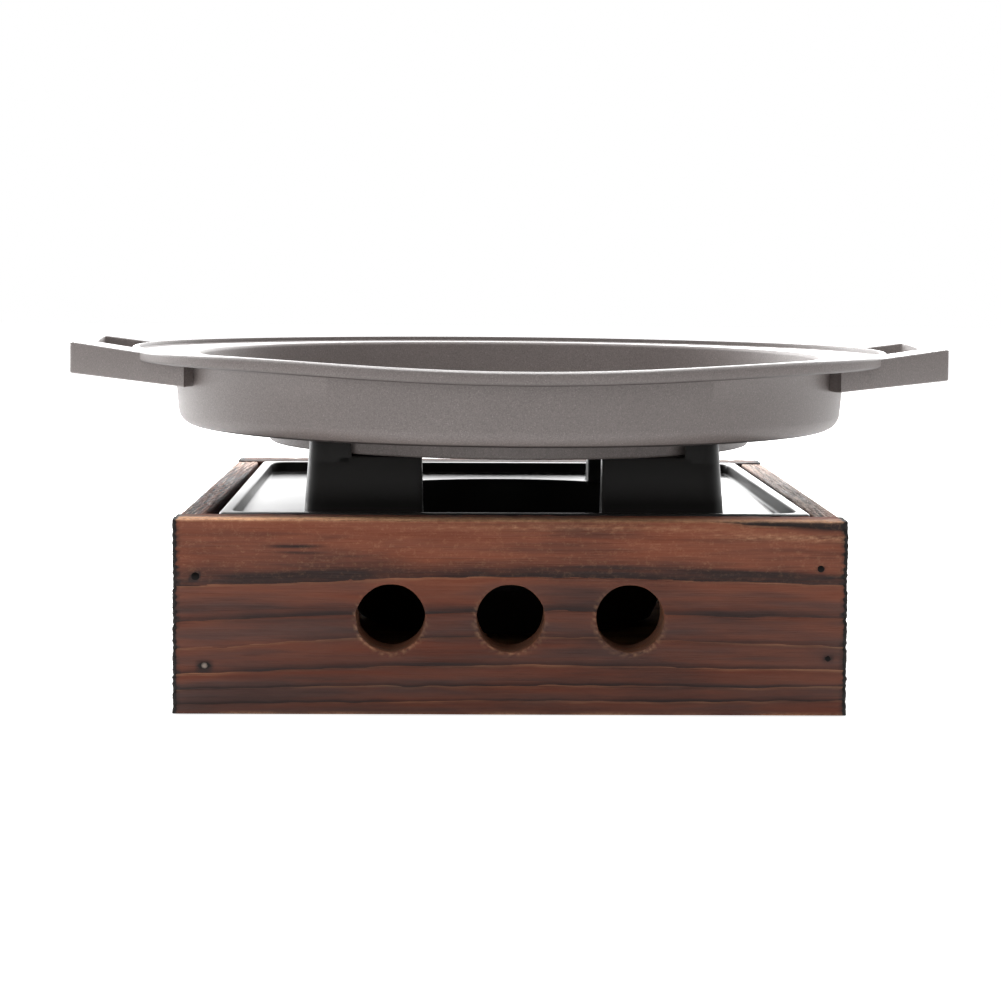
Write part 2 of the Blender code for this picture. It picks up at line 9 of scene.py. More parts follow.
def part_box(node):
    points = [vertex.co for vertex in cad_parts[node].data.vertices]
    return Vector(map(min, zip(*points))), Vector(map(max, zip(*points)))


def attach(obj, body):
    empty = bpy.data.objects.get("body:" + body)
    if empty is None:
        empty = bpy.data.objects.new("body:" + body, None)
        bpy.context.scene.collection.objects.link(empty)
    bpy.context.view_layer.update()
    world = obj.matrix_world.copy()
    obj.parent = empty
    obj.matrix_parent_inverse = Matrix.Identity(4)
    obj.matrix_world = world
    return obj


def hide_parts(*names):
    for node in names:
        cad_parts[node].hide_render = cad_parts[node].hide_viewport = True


# Dressed model of a table-top charcoal grill: scorched wooden box, black cast stove, grey cast pan.
# Sizes are millimetres unless a note says metres; the last step of each piece turns them into metres.
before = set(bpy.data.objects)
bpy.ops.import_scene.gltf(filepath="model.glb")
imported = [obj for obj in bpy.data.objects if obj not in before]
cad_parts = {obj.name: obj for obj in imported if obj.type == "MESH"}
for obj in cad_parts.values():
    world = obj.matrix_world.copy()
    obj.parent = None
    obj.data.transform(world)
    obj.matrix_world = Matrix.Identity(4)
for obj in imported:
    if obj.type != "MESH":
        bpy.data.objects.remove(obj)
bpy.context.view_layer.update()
print("frame loaded", len(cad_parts), "nodes")


# shapes
scene = bpy.context.scene


def linked(name, data):
    thing = bpy.data.objects.new(name, data)
    scene.collection.objects.link(thing)
    return thing


# The four corners of every cell in a grid of point numbers
def cells(index):
    return np.stack([index[:-1, :-1], index[:-1, 1:], index[1:, 1:], index[1:, :-1]], -1)


# The point numbers round the edge of such a grid, in order
def edgeOf(index):
    return np.concatenate([index[0, :-1], index[:-1, -1], index[-1, :0:-1], index[:0:-1, 0]])


# Points of a circle round the origin
def around(angles, radius=1):
    return radius * np.stack([np.cos(angles), np.sin(angles)], -1)


class Shape:
    # Gathers grids of points, shape (rows, columns, 3), and flat faces into one mesh
    def __init__(self):
        self.points, self.faces, self.tags = [], [], []

    def add(self, points, faces, tags=None):
        self.faces += (faces + sum(map(len, self.points))).tolist()
        self.points.append(points.reshape(-1, 3))
        self.tags.append(tags or {})

    # Every row is a closed ring; with closed, the last row joins the first too
    def grid(self, grid, tags=None, closed=False):
        index = np.arange(grid[..., 0].size).reshape(grid.shape[:2])
        index = np.hstack([index, index[:, :1]])
        if closed:
            index = np.vstack([index, index[:1]])
        self.add(grid, cells(index).reshape(-1, 4), tags)

    # The same with a flat face on its first and its last ring
    def bar(self, grid, tags=None, endTags=None):
        self.grid(grid, tags)
        for ring in (grid[0], grid[-1]):
            self.add(ring, np.arange(len(ring))[None], endTags)

    # Makes the piece, in metres; points closer than the merging distance become one
    def finish(self, name, body, slot, material, replaced, smoothAngle=35, merging=0.000004):
        mesh = bpy.data.meshes.new(name)
        mesh.from_pydata(np.concatenate(self.points) * 0.001, [], self.faces)
        for tag in sorted({key for tags in self.tags for key in tags}):
            parts = zip(self.tags, self.points)
            values = [np.broadcast_to(tags.get(tag, 0.0), len(points)) for tags, points in parts]
            layer = mesh.attributes.new(tag, "FLOAT", "POINT")
            layer.data.foreach_set("value", np.concatenate(values).astype(np.float32))
        work = bmesh.new()
        work.from_mesh(mesh)
        bmesh.ops.remove_doubles(work, verts=work.verts, dist=merging)
        bmesh.ops.recalc_face_normals(work, faces=work.faces)
        work.to_mesh(mesh)
        work.free()
        mesh.shade_smooth()
        mesh.set_sharp_from_angle(angle=math.radians(smoothAngle))
        mesh.materials.append(material)
        piece = linked(name, mesh)
        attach(piece, body)
        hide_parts(*replaced)
        print(name, "made", len(mesh.vertices), "points")


# Held between 0 and 1
def unit(value):
    return np.clip(value, 0, 1)


def smoothStep(value):
    value = unit(value)
    return value * value * (3 - 2 * value)


# Smooth waves: a sum of sines with seeded directions, lengths and phases, mostly between -1 and 1
def waves(a, b, lengthA, lengthB, seed):
    count, gain = 7, 1.6
    rng = np.random.default_rng(seed)
    total = np.zeros(np.broadcast(a, b).shape)
    for _ in range(count):
        stretchA, stretchB = rng.uniform(0.6, 2.4, 2) * rng.choice([-1, 1], 2)
        total += np.sin(2 * np.pi * (a / lengthA * stretchA + b / lengthB * stretchB) + rng.uniform(0, 6.3))
    return total / count * gain


# Rounded rectangle: quarter circles joined by straight sides, with the same number of points for every size
def roundedRectangle(width, depth, radius, sideSteps, cornerSteps):
    arcs, parts = [], []
    for corner, sides in enumerate(((1, 1), (-1, 1), (-1, -1), (1, -1))):
        angles = math.pi / 2 * (corner + np.linspace(0, 1, cornerSteps + 1))
        centre = np.array(sides) * (width / 2 - radius, depth / 2 - radius)
        arcs.append(centre + around(angles, radius))
    share = np.linspace(0, 1, sideSteps + 1)[1:-1, None]
    for here, following in zip(arcs, arcs[1:] + arcs[:1]):
        parts += [here, here[-1] * (1 - share) + following[0] * share]
    return np.concatenate(parts)


def atHeight(outline, height):
    return np.column_stack([outline, np.broadcast_to(height, len(outline))])


# Moves a closed outline inwards (positive) along its own normals
def inset(outline, distance):
    along = np.roll(outline, -1, 0) - np.roll(outline, 1, 0)
    along /= np.maximum(np.linalg.norm(along, axis=1, keepdims=True), 1e-9)
    return outline + distance * np.stack([-along[:, 1], along[:, 0]], -1)


# Even spacing along a closed outline, then a few averaging passes that round its corners
def softened(outline, spacing, passes):
    closed = np.vstack([outline, outline[:1]])
    length = np.concatenate([[0], np.cumsum(np.linalg.norm(np.diff(closed, axis=0), axis=1))])
    even = np.linspace(0, length[-1], max(int(length[-1] / spacing), 12), endpoint=False)
    result = np.stack([np.interp(even, length, closed[:, k]) for k in (0, 1)], -1)
    for _ in range(passes):
        result = (np.roll(result, 1, 0) + 2 * result + np.roll(result, -1, 0)) / 4
    return result


# shader maths
class Sock:
    # Wraps one socket, so that sums and products of sockets read as plain expressions
    def __init__(self, tree, source=None):
        self.tree, self.source = tree, source

    # Links an input, or gives it a value; a colour of three numbers becomes opaque
    def put(self, socket, value):
        if isinstance(value, Sock):
            self.tree.links.new(value.source, socket)
        else:
            socket.default_value = (*value, 1) if socket.type == "RGBA" and len(value) == 3 else value

    def add(self, kind, settings=None, sockets=None, output=0):
        node = self.tree.nodes.new(kind)
        for name, value in (settings or {}).items():
            setattr(node, name, value)
        for name, value in (sockets or {}).items():
            self.put(node.inputs[name], value)
        return Sock(self.tree, node.outputs[output])

    def math(self, operation, first, second=0.0):
        return self.add("ShaderNodeMath", {"operation": operation}, {0: first, 1: second})

    def __add__(self, other): return self.math("ADD", self, other)
    def __sub__(self, other): return self.math("SUBTRACT", self, other)
    def __rsub__(self, other): return self.math("SUBTRACT", other, self)
    def __mul__(self, other): return self.math("MULTIPLY", self, other)
    def __pow__(self, other): return self.math("POWER", self, other)
    __radd__, __rmul__ = __add__, __mul__

    # Noise over the object's own metres, stretched
    def noise(self, scale, stretch=(1, 1, 1), detail=3.0, roughness=0.5):
        objectPlace = self.add("ShaderNodeTexCoord", output="Object")
        place = self.add("ShaderNodeMapping", {}, {"Vector": objectPlace, "Scale": stretch})
        return self.add("ShaderNodeTexNoise", {}, {
            "Vector": place, "Scale": scale, "Detail": detail, "Roughness": roughness})

    def tag(self, name):
        return self.add("ShaderNodeAttribute", {"attribute_name": name}, output="Fac")

    def ray(self, name):
        return self.add("ShaderNodeLightPath", output=name)

    # Takes a value from one range to another, held at both ends
    def spread(self, low, high, newLow=0.0, newHigh=1.0):
        return self.add("ShaderNodeMapRange", {}, {
            "Value": self, "From Min": low, "From Max": high, "To Min": newLow, "To Max": newHigh})

    # Mix node: factor, first colour, second colour
    def blend(self, colourA, colourB):
        return self.add("ShaderNodeMix", {"data_type": "RGBA"}, {0: self, 6: colourA, 7: colourB}, 2)


# Screen colour 0-255 to linear light
def linear(red, green, blue):
    values = np.array([red, green, blue]) / 255
    light = np.where(values <= 0.04045, values / 12.92, ((values + 0.055) / 1.055) ** 2.4)
    return tuple(light.tolist())


# Makes a material from its look and its recipe, which gives colour, added roughness and heights for the bumps
def makeMaterial(name, look, recipe, *options):
    material = bpy.data.materials.new(name)
    material.use_nodes = True
    make, inputs = Sock(material.node_tree), material.node_tree.nodes["Principled BSDF"].inputs
    colour, rougher, bumps = recipe(make, look, *options)
    make.put(inputs["Base Color"], colour)
    make.put(inputs["Roughness"], look["roughness"] + rougher)
    if "coat" in look:
        make.put(inputs["Coat Weight"], make.tag("flat") * look["coat"])
    for socket, value in look.get("others", {}).items():
        make.put(inputs[socket], value)
    below = {}
    for bump, height in bumps.items():
        distance, strength = look[bump]
        sockets = {"Height": height, "Distance": distance, "Strength": strength, **below}
        below = {"Normal": make.add("ShaderNodeBump", {}, sockets)}
    make.put(inputs["Normal"], below["Normal"])
    return material


# materials: colours, roughness, coat, bumps (distance in metres, strength) and other inputs of the shader
woodLook = {
    "warm": linear(136, 80, 60), "cool": linear(98, 62, 52), "ember": linear(112, 56, 38),
    "ash": linear(72, 60, 58), "burnt": linear(50, 37, 35), "charred": linear(24, 19, 18),
    "edge": linear(244, 188, 144), "bleached": linear(214, 184, 166), "roughness": 0.5,
    "ridge": (0.00022, 0.7), "fibre": (0.00016, 0.6), "fineFibre": (0.00005, 0.5),
    "others": {"Specular IOR Level": 0.2},
}
plainLook = {
    "light": linear(196, 154, 108), "dark": linear(150, 104, 66), "roughness": 0.6, "bump": (0.00006, 0.4),
}
blackLook = {
    "deep": linear(22, 20, 19), "pale": linear(30, 28, 27), "roughness": 0.30, "coat": 0.9,
    "bump": (0.00004, 0.35), "others": {"Coat IOR": 2.2, "Coat Roughness": 0.30, "Specular IOR Level": 0.28},
}
bareLook = {
    "iron": linear(52, 50, 49), "rust": linear(84, 58, 46), "roughness": 0.55, "bump": (0.0001, 0.5),
    "others": {"Metallic": 0.4},
}
greyLook = {
    "dark": linear(112, 104, 102), "light": linear(139, 131, 128), "speck": linear(176, 170, 166),
    "drift": linear(96, 88, 86), "soot": linear(52, 47, 46), "roughness": 0.46, "coat": 0.85,
    "sandBump": (0.00006, 0.35), "speckBump": (0.00003, 0.3),
    "others": {"Specular IOR Level": 0.55, "Coat IOR": 1.9, "Coat Roughness": 0.24},
}
nailLook = {
    "steel": linear(128, 116, 108), "sooty": linear(14, 11, 10), "roughness": 0.45, "bump": (0.00005, 0.4),
    "others": {"Metallic": 0.6, "Specular IOR Level": 0.2},
}


# Scorched softwood. The ring tag counts rings without a break: its fraction is the place inside a ring,
# proud at the ring's upper edge, which gets a painted highlight, and burnt and sunk at its foot. Noise drawn
# out along the grain gives fibres and streaks, slower noise the scorched patches.
def scorchedWood(make, look, along):
    def grain(scale, reach, detail=3.0):
        stretch = (reach, 1, 1) if along == "x" else (1, reach, 1)
        return make.noise(scale, stretch, detail, 0.6).spread(0.34, 0.66)

    fibre, fineFibre, streak = grain(1000, 0.035), grain(2600, 0.03, 2), grain(330, 0.05)
    tint, patch, wander = grain(210, 0.09, 2), grain(75, 0.2, 4), grain(26, 0.18, 2)
    speck = make.noise(1150, (0.55, 0.8, 0.8), 3, 0.75)
    ring = make.tag("ring") + (wander - 0.5) * 0.06 + (streak - 0.5) * 0.07 + (fibre - 0.5) * 0.03
    phase, number = ring.math("FRACT", ring), ring.math("FLOOR", ring)
    chance = make.add("ShaderNodeTexWhiteNoise", {"noise_dimensions": "1D"}, {"W": number})
    under = phase * make.tag("gap")
    foot, line, crest = phase.spread(0.4, 1.0) ** 1.8, phase.spread(0.80, 0.93), under.spread(0.9, 0.1)
    char, worn, warm = make.tag("char"), make.tag("worn"), make.tag("warm")
    colour = (warm + (patch - 0.5) * 0.6).spread(0.0, 1.0).blend(look["cool"], look["warm"])
    colour = (tint.spread(0.5, 1.0) * 0.45).blend(colour, look["ember"])
    colour = (tint.spread(0.5, 0.0) * (1 - warm) * 0.6).blend(colour, look["ash"])
    burn = foot * (0.35 + chance * 0.3) + line * (0.15 + chance * 0.25) + (0.5 - streak) * 0.55 \
        + (0.5 - fibre) * 0.35 + (0.5 - patch) * 0.5 + char
    colour = burn.spread(0.0, 1.0).blend(colour, look["burnt"])
    # painted highlight: the crest under each ring's upper edge is blended towards the pale edge colour
    light = crest * (chance * 0.24 + 0.03) * (fibre + 0.2) * patch.spread(0.2, 0.8) \
        + speck.spread(0.52, 0.72) * warm.spread(0.4, 1.0) * 0.13 \
        + worn * (0.35 + fibre * 0.5 + speck.spread(0.4, 0.6) * 0.5)
    # wear and painted highlight: worn places, and arrises where a painted highlight stands for caught light,
    # turn pale
    colour = light.spread(0.0, 1.0).blend(colour, look["edge"])
    # paler in streaks on the side boards' tops, more towards the back
    bleach = (make.tag("bleach") * (0.1 + fineFibre * 0.8 + streak * 0.6)).spread(0.1, 0.9)
    colour = bleach.blend(colour, look["bleached"])
    colour = (char + (0.5 - fibre) * 0.3).spread(0.65, 1.0).blend(colour, look["charred"])
    bumps = {"ridge": under.spread(0.0, 0.5) - foot, "fibre": fibre, "fineFibre": fineFibre}
    return colour, fibre * 0.2, bumps


def plainSoftwood(make, look):
    rings, fibre = make.noise(240, (0.05, 0.4, 1), 2), make.noise(1500, (0.05, 1, 1), roughness=0.6)
    colour = (rings * 0.8 + fibre * 0.4).spread(0.35, 0.85).blend(look["light"], look["dark"])
    return colour, fibre * 0.2, {"bump": fibre}


def enamelledIron(make, look):
    grain, drift = make.noise(1300, roughness=0.6), make.noise(45, detail=2)
    return drift.blend(look["deep"], look["pale"]), drift * 0.08, {"bump": grain}


def darkIron(make, look):
    grain, rust = make.noise(900, detail=4, roughness=0.65), make.noise(110).spread(0.55, 0.75)
    return (rust * 0.5).blend(look["iron"], look["rust"]), grain * 0.2, {"bump": grain}


# Warm grey cast coating: fine light and dark specks, a sandy bump, and painted shade under the flange and the
# body and in the creases
def castCoating(make, look):
    sand, speck = make.noise(1500, roughness=0.7), make.noise(3000, detail=1)
    drift = make.noise(35, detail=2)
    colour = (sand * 0.6 + speck * 0.4).spread(0.32, 0.70).blend(look["dark"], look["light"])
    colour = (speck.spread(0.68, 0.76) * 0.5).blend(colour, look["speck"])
    colour = (drift.spread(0.4, 0.7) * 0.12).blend(colour, look["drift"])
    # painted shade: dark under the flange, under the body, at the foot's crease and on the lip's inner wall
    colour = (make.tag("soot") * (0.7 + speck * 0.5)).spread(0.0, 1.0).blend(colour, look["soot"])
    return colour, sand * 0.12, {"sandBump": sand, "speckBump": speck}


def nailSurface(make, look):
    grain = make.noise(1800)
    colour = (make.tag("rim") + grain * 0.5).spread(0.35, 1.0).blend(look["steel"], look["sooty"])
    return colour, 0.0, {"bump": grain}


scorchedX = makeMaterial("scorched_wood_across", woodLook, scorchedWood, "x")
scorchedY = makeMaterial("scorched_wood_along", woodLook, scorchedWood, "y")
plainWood = makeMaterial("plain_softwood", plainLook, plainSoftwood)
blackIron = makeMaterial("black_enamelled_iron", blackLook, enamelledIron)
bareIron = makeMaterial("bare_dark_iron", bareLook, darkIron)
greyIron = makeMaterial("grey_cast_coating", greyLook, castCoating)
nailSteel = makeMaterial("dull_nail_steel", nailLook, nailSurface)
print("materials made")

# wooden box
box = {
    "middleX": -1.0, "width": 200.0, "depth": 212.0, "height": 58.0, "thickness": 14.5, "joint": 0.3,
    "rebateWidth": 6.8, "rebateFloor": 49.3, "holeRadius": 10.1, "holePitch": 35.5, "holePatch": 13.0,
    "edgeRound": 1.1, "holeRound": 0.5, "relief": 0.26, "waviness": 0.035, "reliefDepth": 1.6,
    "endProud": 0.50, "endRelief": 0.24, "endWear": 0.22, "topProud": 0.33, "topWear": 0.10,
    "ringLean": 0.42, "ringWave": 1.2, "ringWaveLength": 5.0,
}

# Growth rings of the front board: height above the table at places along it, from its left end
frontRings = {
    "places": [-100, -80, -65, -45, -26, 0, 26, 45, 62, 82, 99],
    "lines": [
        [78, 77, 76, 76, 75, 75, 75, 75, 75, 75, 75],
        [62, 62, 61.5, 61, 60.5, 60, 59.6, 58.6, 57.6, 56.6, 55.9],
        [38.0, 39.1, 39.7, 40.3, 41.5, 41.95, 41.5, 40.7, 40.3, 39.6, 38.4],
        [27.4, 28.5, 29.4, 30.1, 30.2, 31.4, 31.3, 30.1, 29.5, 29.5, 28.9],
        [19.6, 20.2, 21.9, 23.3, 23.4, 23.8, 23.5, 22.8, 21.8, 21.4, 20.6],
        [12.1, 12.7, 13.4, 14.5, 14.8, 15.1, 14.9, 14.6, 14.1, 13.8, 13.6],
        [7.5, 7.9, 8.3, 8.7, 8.7, 8.9, 9.2, 9.0, 8.5, 8.6, 8.8],
        [3.0, 3.4, 3.7, 3.9, 4.2, 4.4, 4.5, 4.5, 4.6, 4.7, 4.8],
        [-3.0, -3.0, -2.8, -2.6, -2.5, -2.4, -2.4, -2.3, -2.2, -2.2, -2.2],
    ],
}


# Height of every ring line at given places: the control values joined and smoothed by a moving bell
def ringHeights(rings, along):
    reach, width = 15, 6.0
    stations = np.arange(-125, 126, 1.0)
    bell = np.exp(-0.5 * (np.arange(-reach, reach + 1) / width) ** 2)
    heights = []
    for number, line in enumerate(rings["lines"]):
        padded = np.pad(np.interp(stations, rings["places"], line), reach, mode="edge")
        smooth = np.convolve(padded, bell / bell.sum(), mode="valid")
        smooth = smooth + 0.22 * waves(stations, number * 3.1, 26, 9, number + 40)
        heights.append(np.interp(along, stations, smooth))
    return np.stack(heights)


# Ring phase (0 under a ring's upper edge, 1 above the next edge), distance under the upper edge, the ring's
# whole height and its number
def ringPhase(rings, along, height):
    lines = ringHeights(rings, along)
    number = np.clip((height[None] < lines).sum(0), 1, len(lines) - 1)
    upper = np.take_along_axis(lines, number[None] - 1, 0)[0]
    lower = np.take_along_axis(lines, number[None], 0)[0]
    return unit((upper - height) / (upper - lower)), upper - height, upper - lower, number


# Burnt and brushed face: each ring starts proud and sinks towards the next one
def ringRecess(phase, under):
    return np.maximum(1 - smoothStep(under / 0.9), phase ** 2.6)


# Rings lean as they go inwards: the height at which a point's ring meets the outer face
def ringHeight(z, inward):
    return z + box["ringLean"] * inward + box["ringWave"] * np.sin(inward / box["ringWaveLength"])


# Rings drawn at random for the boards whose faces the photograph doesn't show
def plainRings(seed):
    rng = np.random.default_rng(seed)
    places = np.linspace(-110, 110, 9)
    height, lines = 84.0, []
    bend = rng.uniform(-0.0004, 0.0004)
    while height > -9:
        lines.append(height + bend * places ** 2 + 0.5 * rng.normal(size=9))
        height -= rng.uniform(5.0, 10.5)
    return {"places": places, "lines": lines}


# Quarter-round setback of a face near its edge
def setback(distance, radius):
    near = radius - np.minimum(distance, radius)
    return radius - np.sqrt(np.maximum(radius ** 2 - near ** 2, 0))


def edgeLines(low, high, step, radius):
    inner = np.linspace(low + radius * 1.3, high - radius * 1.3, int((high - low) / step) + 1)
    near = np.array([0, 0.12, 0.35, 0.7]) * radius
    return np.concatenate([low + near, inner, (high - near)[::-1]])


def nearest(values, target):
    return np.argmin(abs(values - target))


# Flat layout of an end board: grid lines, with a patch of rings round each air hole
def endBoardLayout(holes, chips):
    half, height, patch = box["width"] / 2, box["height"], box["holePatch"]
    middle = height / 2
    xs, zs = edgeLines(-half, half, 1.0, box["edgeRound"]), edgeLines(0, height, 0.5, box["edgeRound"])
    for values, centre in [(xs, hole) for hole in holes] + [(zs, middle)]:
        for edge in (centre - patch, centre + patch):
            values[nearest(values, edge)] = edge
    points = [np.stack(np.meshgrid(xs, zs, indexing="xy"), -1).reshape(-1, 2)]
    index = np.arange(len(points[0])).reshape(len(zs), len(xs))
    keep = np.ones((len(zs) - 1, len(xs) - 1), bool)
    share = np.array([0.3, 0.55, 0.72, 0.82, 0.88, 0.93, 0.97, 1.0])[:, None, None]
    rings, quads, count = [], [], index.size
    low, high = nearest(zs, middle - patch), nearest(zs, middle + patch)
    for hole, chip in zip(holes, chips):
        left, right = nearest(xs, hole - patch), nearest(xs, hole + patch)
        keep[low:high, left:right] = False
        border = edgeOf(index[low:high + 1, left:right + 1])
        square = points[0][border]
        angle = np.arctan2(square[:, 1] - middle, square[:, 0] - hole)
        circle = around(angle, box["holeRadius"] + chip(angle)[:, None]) + (hole, middle)
        points.append((square * (1 - share) + circle * share).reshape(-1, 2))
        inner = count + np.arange(share.size * len(border)).reshape(share.size, -1)
        patchIndex = np.vstack([border, inner])
        quads.append(cells(np.hstack([patchIndex, patchIndex[:, :1]])).reshape(-1, 4))
        rings.append(inner[-1])
        count += inner.size
    return np.concatenate(points), np.concatenate([cells(index)[keep]] + quads), [edgeOf(index)] + rings


# End board: the layout is the front face and the back face, and bands through the thickness join them
def makeEndBoard(node, side, rings, chips, marks, arrisWearAndHighlight, topChar, seed):
    holes = np.array([-1, 0, 1]) * box["holePitch"]
    half, height, thick = box["width"] / 2, box["height"], box["thickness"]

    def holeDistances(x, z):
        return [np.hypot(x - hole, z - height / 2) - box["holeRadius"] for hole in holes]

    # Place of each point (along, height, inward) and what the wood's material reads there
    def placed(points):
        x, z, inward = points[..., 0], points[..., 1], points[..., 2]
        fromEnd, fromTop = half - abs(x), height - z
        slanted = ringHeight(z, inward)
        phase, under, gap, number = ringPhase(rings, x, slanted)
        recess = ringRecess(phase, under)
        onFace = unit(1 - inward / box["reliefDepth"])
        onEnd, onTop = unit(1 - fromEnd / 2.5), unit(1 - fromTop / 1.2)
        # shape: brushed face, torn end grain, worn top
        outward = onFace * (box["waviness"] * waves(x, z, 3.1, 1.3, seed + 3) - box["relief"] * recess)
        torn = box["endRelief"] * recess + box["endWear"] * (1 + waves(z, inward, 3.4, 6.0, seed + 4))
        raised = box["topProud"] - box["topWear"] * (1 + waves(x, inward, 14, 6, seed + 5))
        place = np.stack([x + np.sign(x) * onEnd * (box["endProud"] - torn) + box["middleX"],
                          side * (box["depth"] / 2 - inward + outward), z + onTop * raised], -1)
        # char: the board's ends and top, the marks (one of them a painted shadow line under the arris), and
        # patches at the holes' edges
        char = np.clip(1.9 - fromEnd / 0.9 + 0.5 * waves(z, inward, 3.0, 5.0, seed + 8), 0, 1.4)
        char, bare = char + 0.25 * onEnd + topChar * onTop, 0
        for markX, markZ, slope, halfLong, halfHigh, strength in marks:
            away = ((x - markX) / halfLong) ** 4 + ((z - markZ - slope * (x - markX)) / halfHigh) ** 2
            mark = np.exp(-away) * onFace
            char = char + max(strength, 0) * mark
            bare = bare + max(-strength, 0) * mark * (1 + waves(x, z, 9, 2, seed + 9))
        away = holeDistances(x, z)
        upwards = 0.75 * (z - height / 2)
        lower = [unit(0.55 - (0.3 * (x - hole) + upwards) / box["holeRadius"]) for hole in holes]
        atHole = np.max([unit(1.2 - abs(one - 0.5) / 0.9) * share for one, share in zip(away, lower)], 0)
        inHole = unit(inward / 0.8) * (np.min(away, 0) < 0.6)
        char = char + 0.7 * atHole * unit(waves(x, z, 2.6, 2.0, seed + 10) - 0.1) * onFace
        # wear and painted highlight: a painted highlight with some wear along the upper arris, scaled along
        # the board;
        # wear at the lower edge, splinters below the holes, their walls and the bare marks
        patchy = unit(0.55 + 0.9 * waves(x, 0 * z, 60, 9, seed + 6))
        splinter = atHole * unit(1.3 * waves(x, z, 5, 3.5, seed + 7) + 0.4) * onFace
        arris = unit(1.1 - fromTop / 0.42) * unit(1.4 - inward / 7)
        arris = arris * np.interp(x, [-60, 10, 60, 100], arrisWearAndHighlight)
        worn = arris * (0.85 + 0.15 * patchy) + 0.9 * unit(1 - z / 0.9) * patchy * onFace
        worn = unit(worn + 0.22 * splinter + 0.14 * inHole + 0.2 * bare) * unit(1.2 - char)
        tags = {"ring": number + phase, "gap": gap, "char": char - 0.35 * inHole, "worn": worn,
                "warm": np.clip((slanted - 30) / 18, 0.05, 0.85), "bleach": 0 * x}
        return place, {key: np.ravel(value) for key, value in tags.items()}

    flat, quads, loops = endBoardLayout(holes, chips)
    x, z = flat.T
    toEdge = np.min([half - abs(x), z, 2.2 * (height - z)], 0)
    toHole = np.maximum(np.min(holeDistances(x, z), 0), 0)
    depth = np.maximum(setback(toEdge, box["edgeRound"]), setback(toHole, box["holeRound"]))
    levels = np.concatenate([[0, 0.02, 0.05], np.linspace(0.1, 0.9, 14), [0.95, 0.98, 1]])[:, None]
    shape = Shape()
    for inward in (depth, thick - depth):
        place, tags = placed(np.column_stack([flat, inward]))
        shape.add(place, quads, tags)
    for loop in loops:
        inward = depth[loop] + levels * (thick - 2 * depth[loop])
        place, tags = placed(np.dstack([np.broadcast_to(flat[loop], (*inward.shape, 2)), inward]))
        shape.grid(place, tags)
    shape.finish(node + "_brushed", "box", "scorched_wood", scorchedX, [node])


def cleanHole(angle):
    return 0.06 * np.sin(3 * angle + 0.4) + 0.05 * np.sin(7 * angle)


# Splintered on its left: the edge breaks away over a quarter turn
def chippedHole(angle):
    away = unit(np.cos(angle - math.radians(190)) - 0.55)
    return 0.9 * away * (1 + 0.4 * np.sin(11 * angle)) + cleanHole(angle)


# Marks on a face: place along it, height, slope, half length, half height, strength (dark; bare if negative)
frontMarks = [
    # the long mark 84 along and 56.9 high is a painted shadow line under the upper arris
    (-64.5, 50.2, 0, 8, 0.45, 0.9), (-62, 48.3, 0, 6, 0.3, 0.6), (84, 56.9, -0.03, 20, 1.35, 0.85),
    (-91, 17.6, 0, 4, 0.3, 0.4), (-93.4, 41.2, 0.3, 1.3, 1.0, 1.6), (-90.7, 14.7, 0, 2.3, 1.6, 1.3),
    (92.1, 44.2, 0, 1.3, 0.9, 1.0), (94.5, 17.4, 0, 1.6, 1.0, 1.0), (-29, 43.5, 0, 30, 1.6, 0.35),
    (-64, 41.8, 0.03, 20, 1.2, 0.45), (20, 44.5, 0, 26, 1.2, 0.3), (-77, 17.8, 0, 3, 0.3, 0.5),
    (60, 43.6, -0.03, 36, 1.0, 0.3), (80, 42.2, -0.03, 26, 1.0, 0.45), (20, 56.0, 0, 46, 0.8, -0.7),
    (84, 53.4, -0.03, 22, 0.9, -1.0),
]
backMarks = [(along, height, 0, 1.3, 0.9, 0.9) for along in (-93, 93) for height in (42, 16)]
makeEndBoard("front_board", -1, frontRings, (chippedHole, cleanHole, cleanHole), frontMarks,
             (1.0, 0.75, 0.5, 0.6), 0, 11)
makeEndBoard("back_board", 1, plainRings(21), (cleanHole, cleanHole, cleanHole), backMarks,
             (0.15, 0.1, 0.1, 0.15), 0.6, 23)


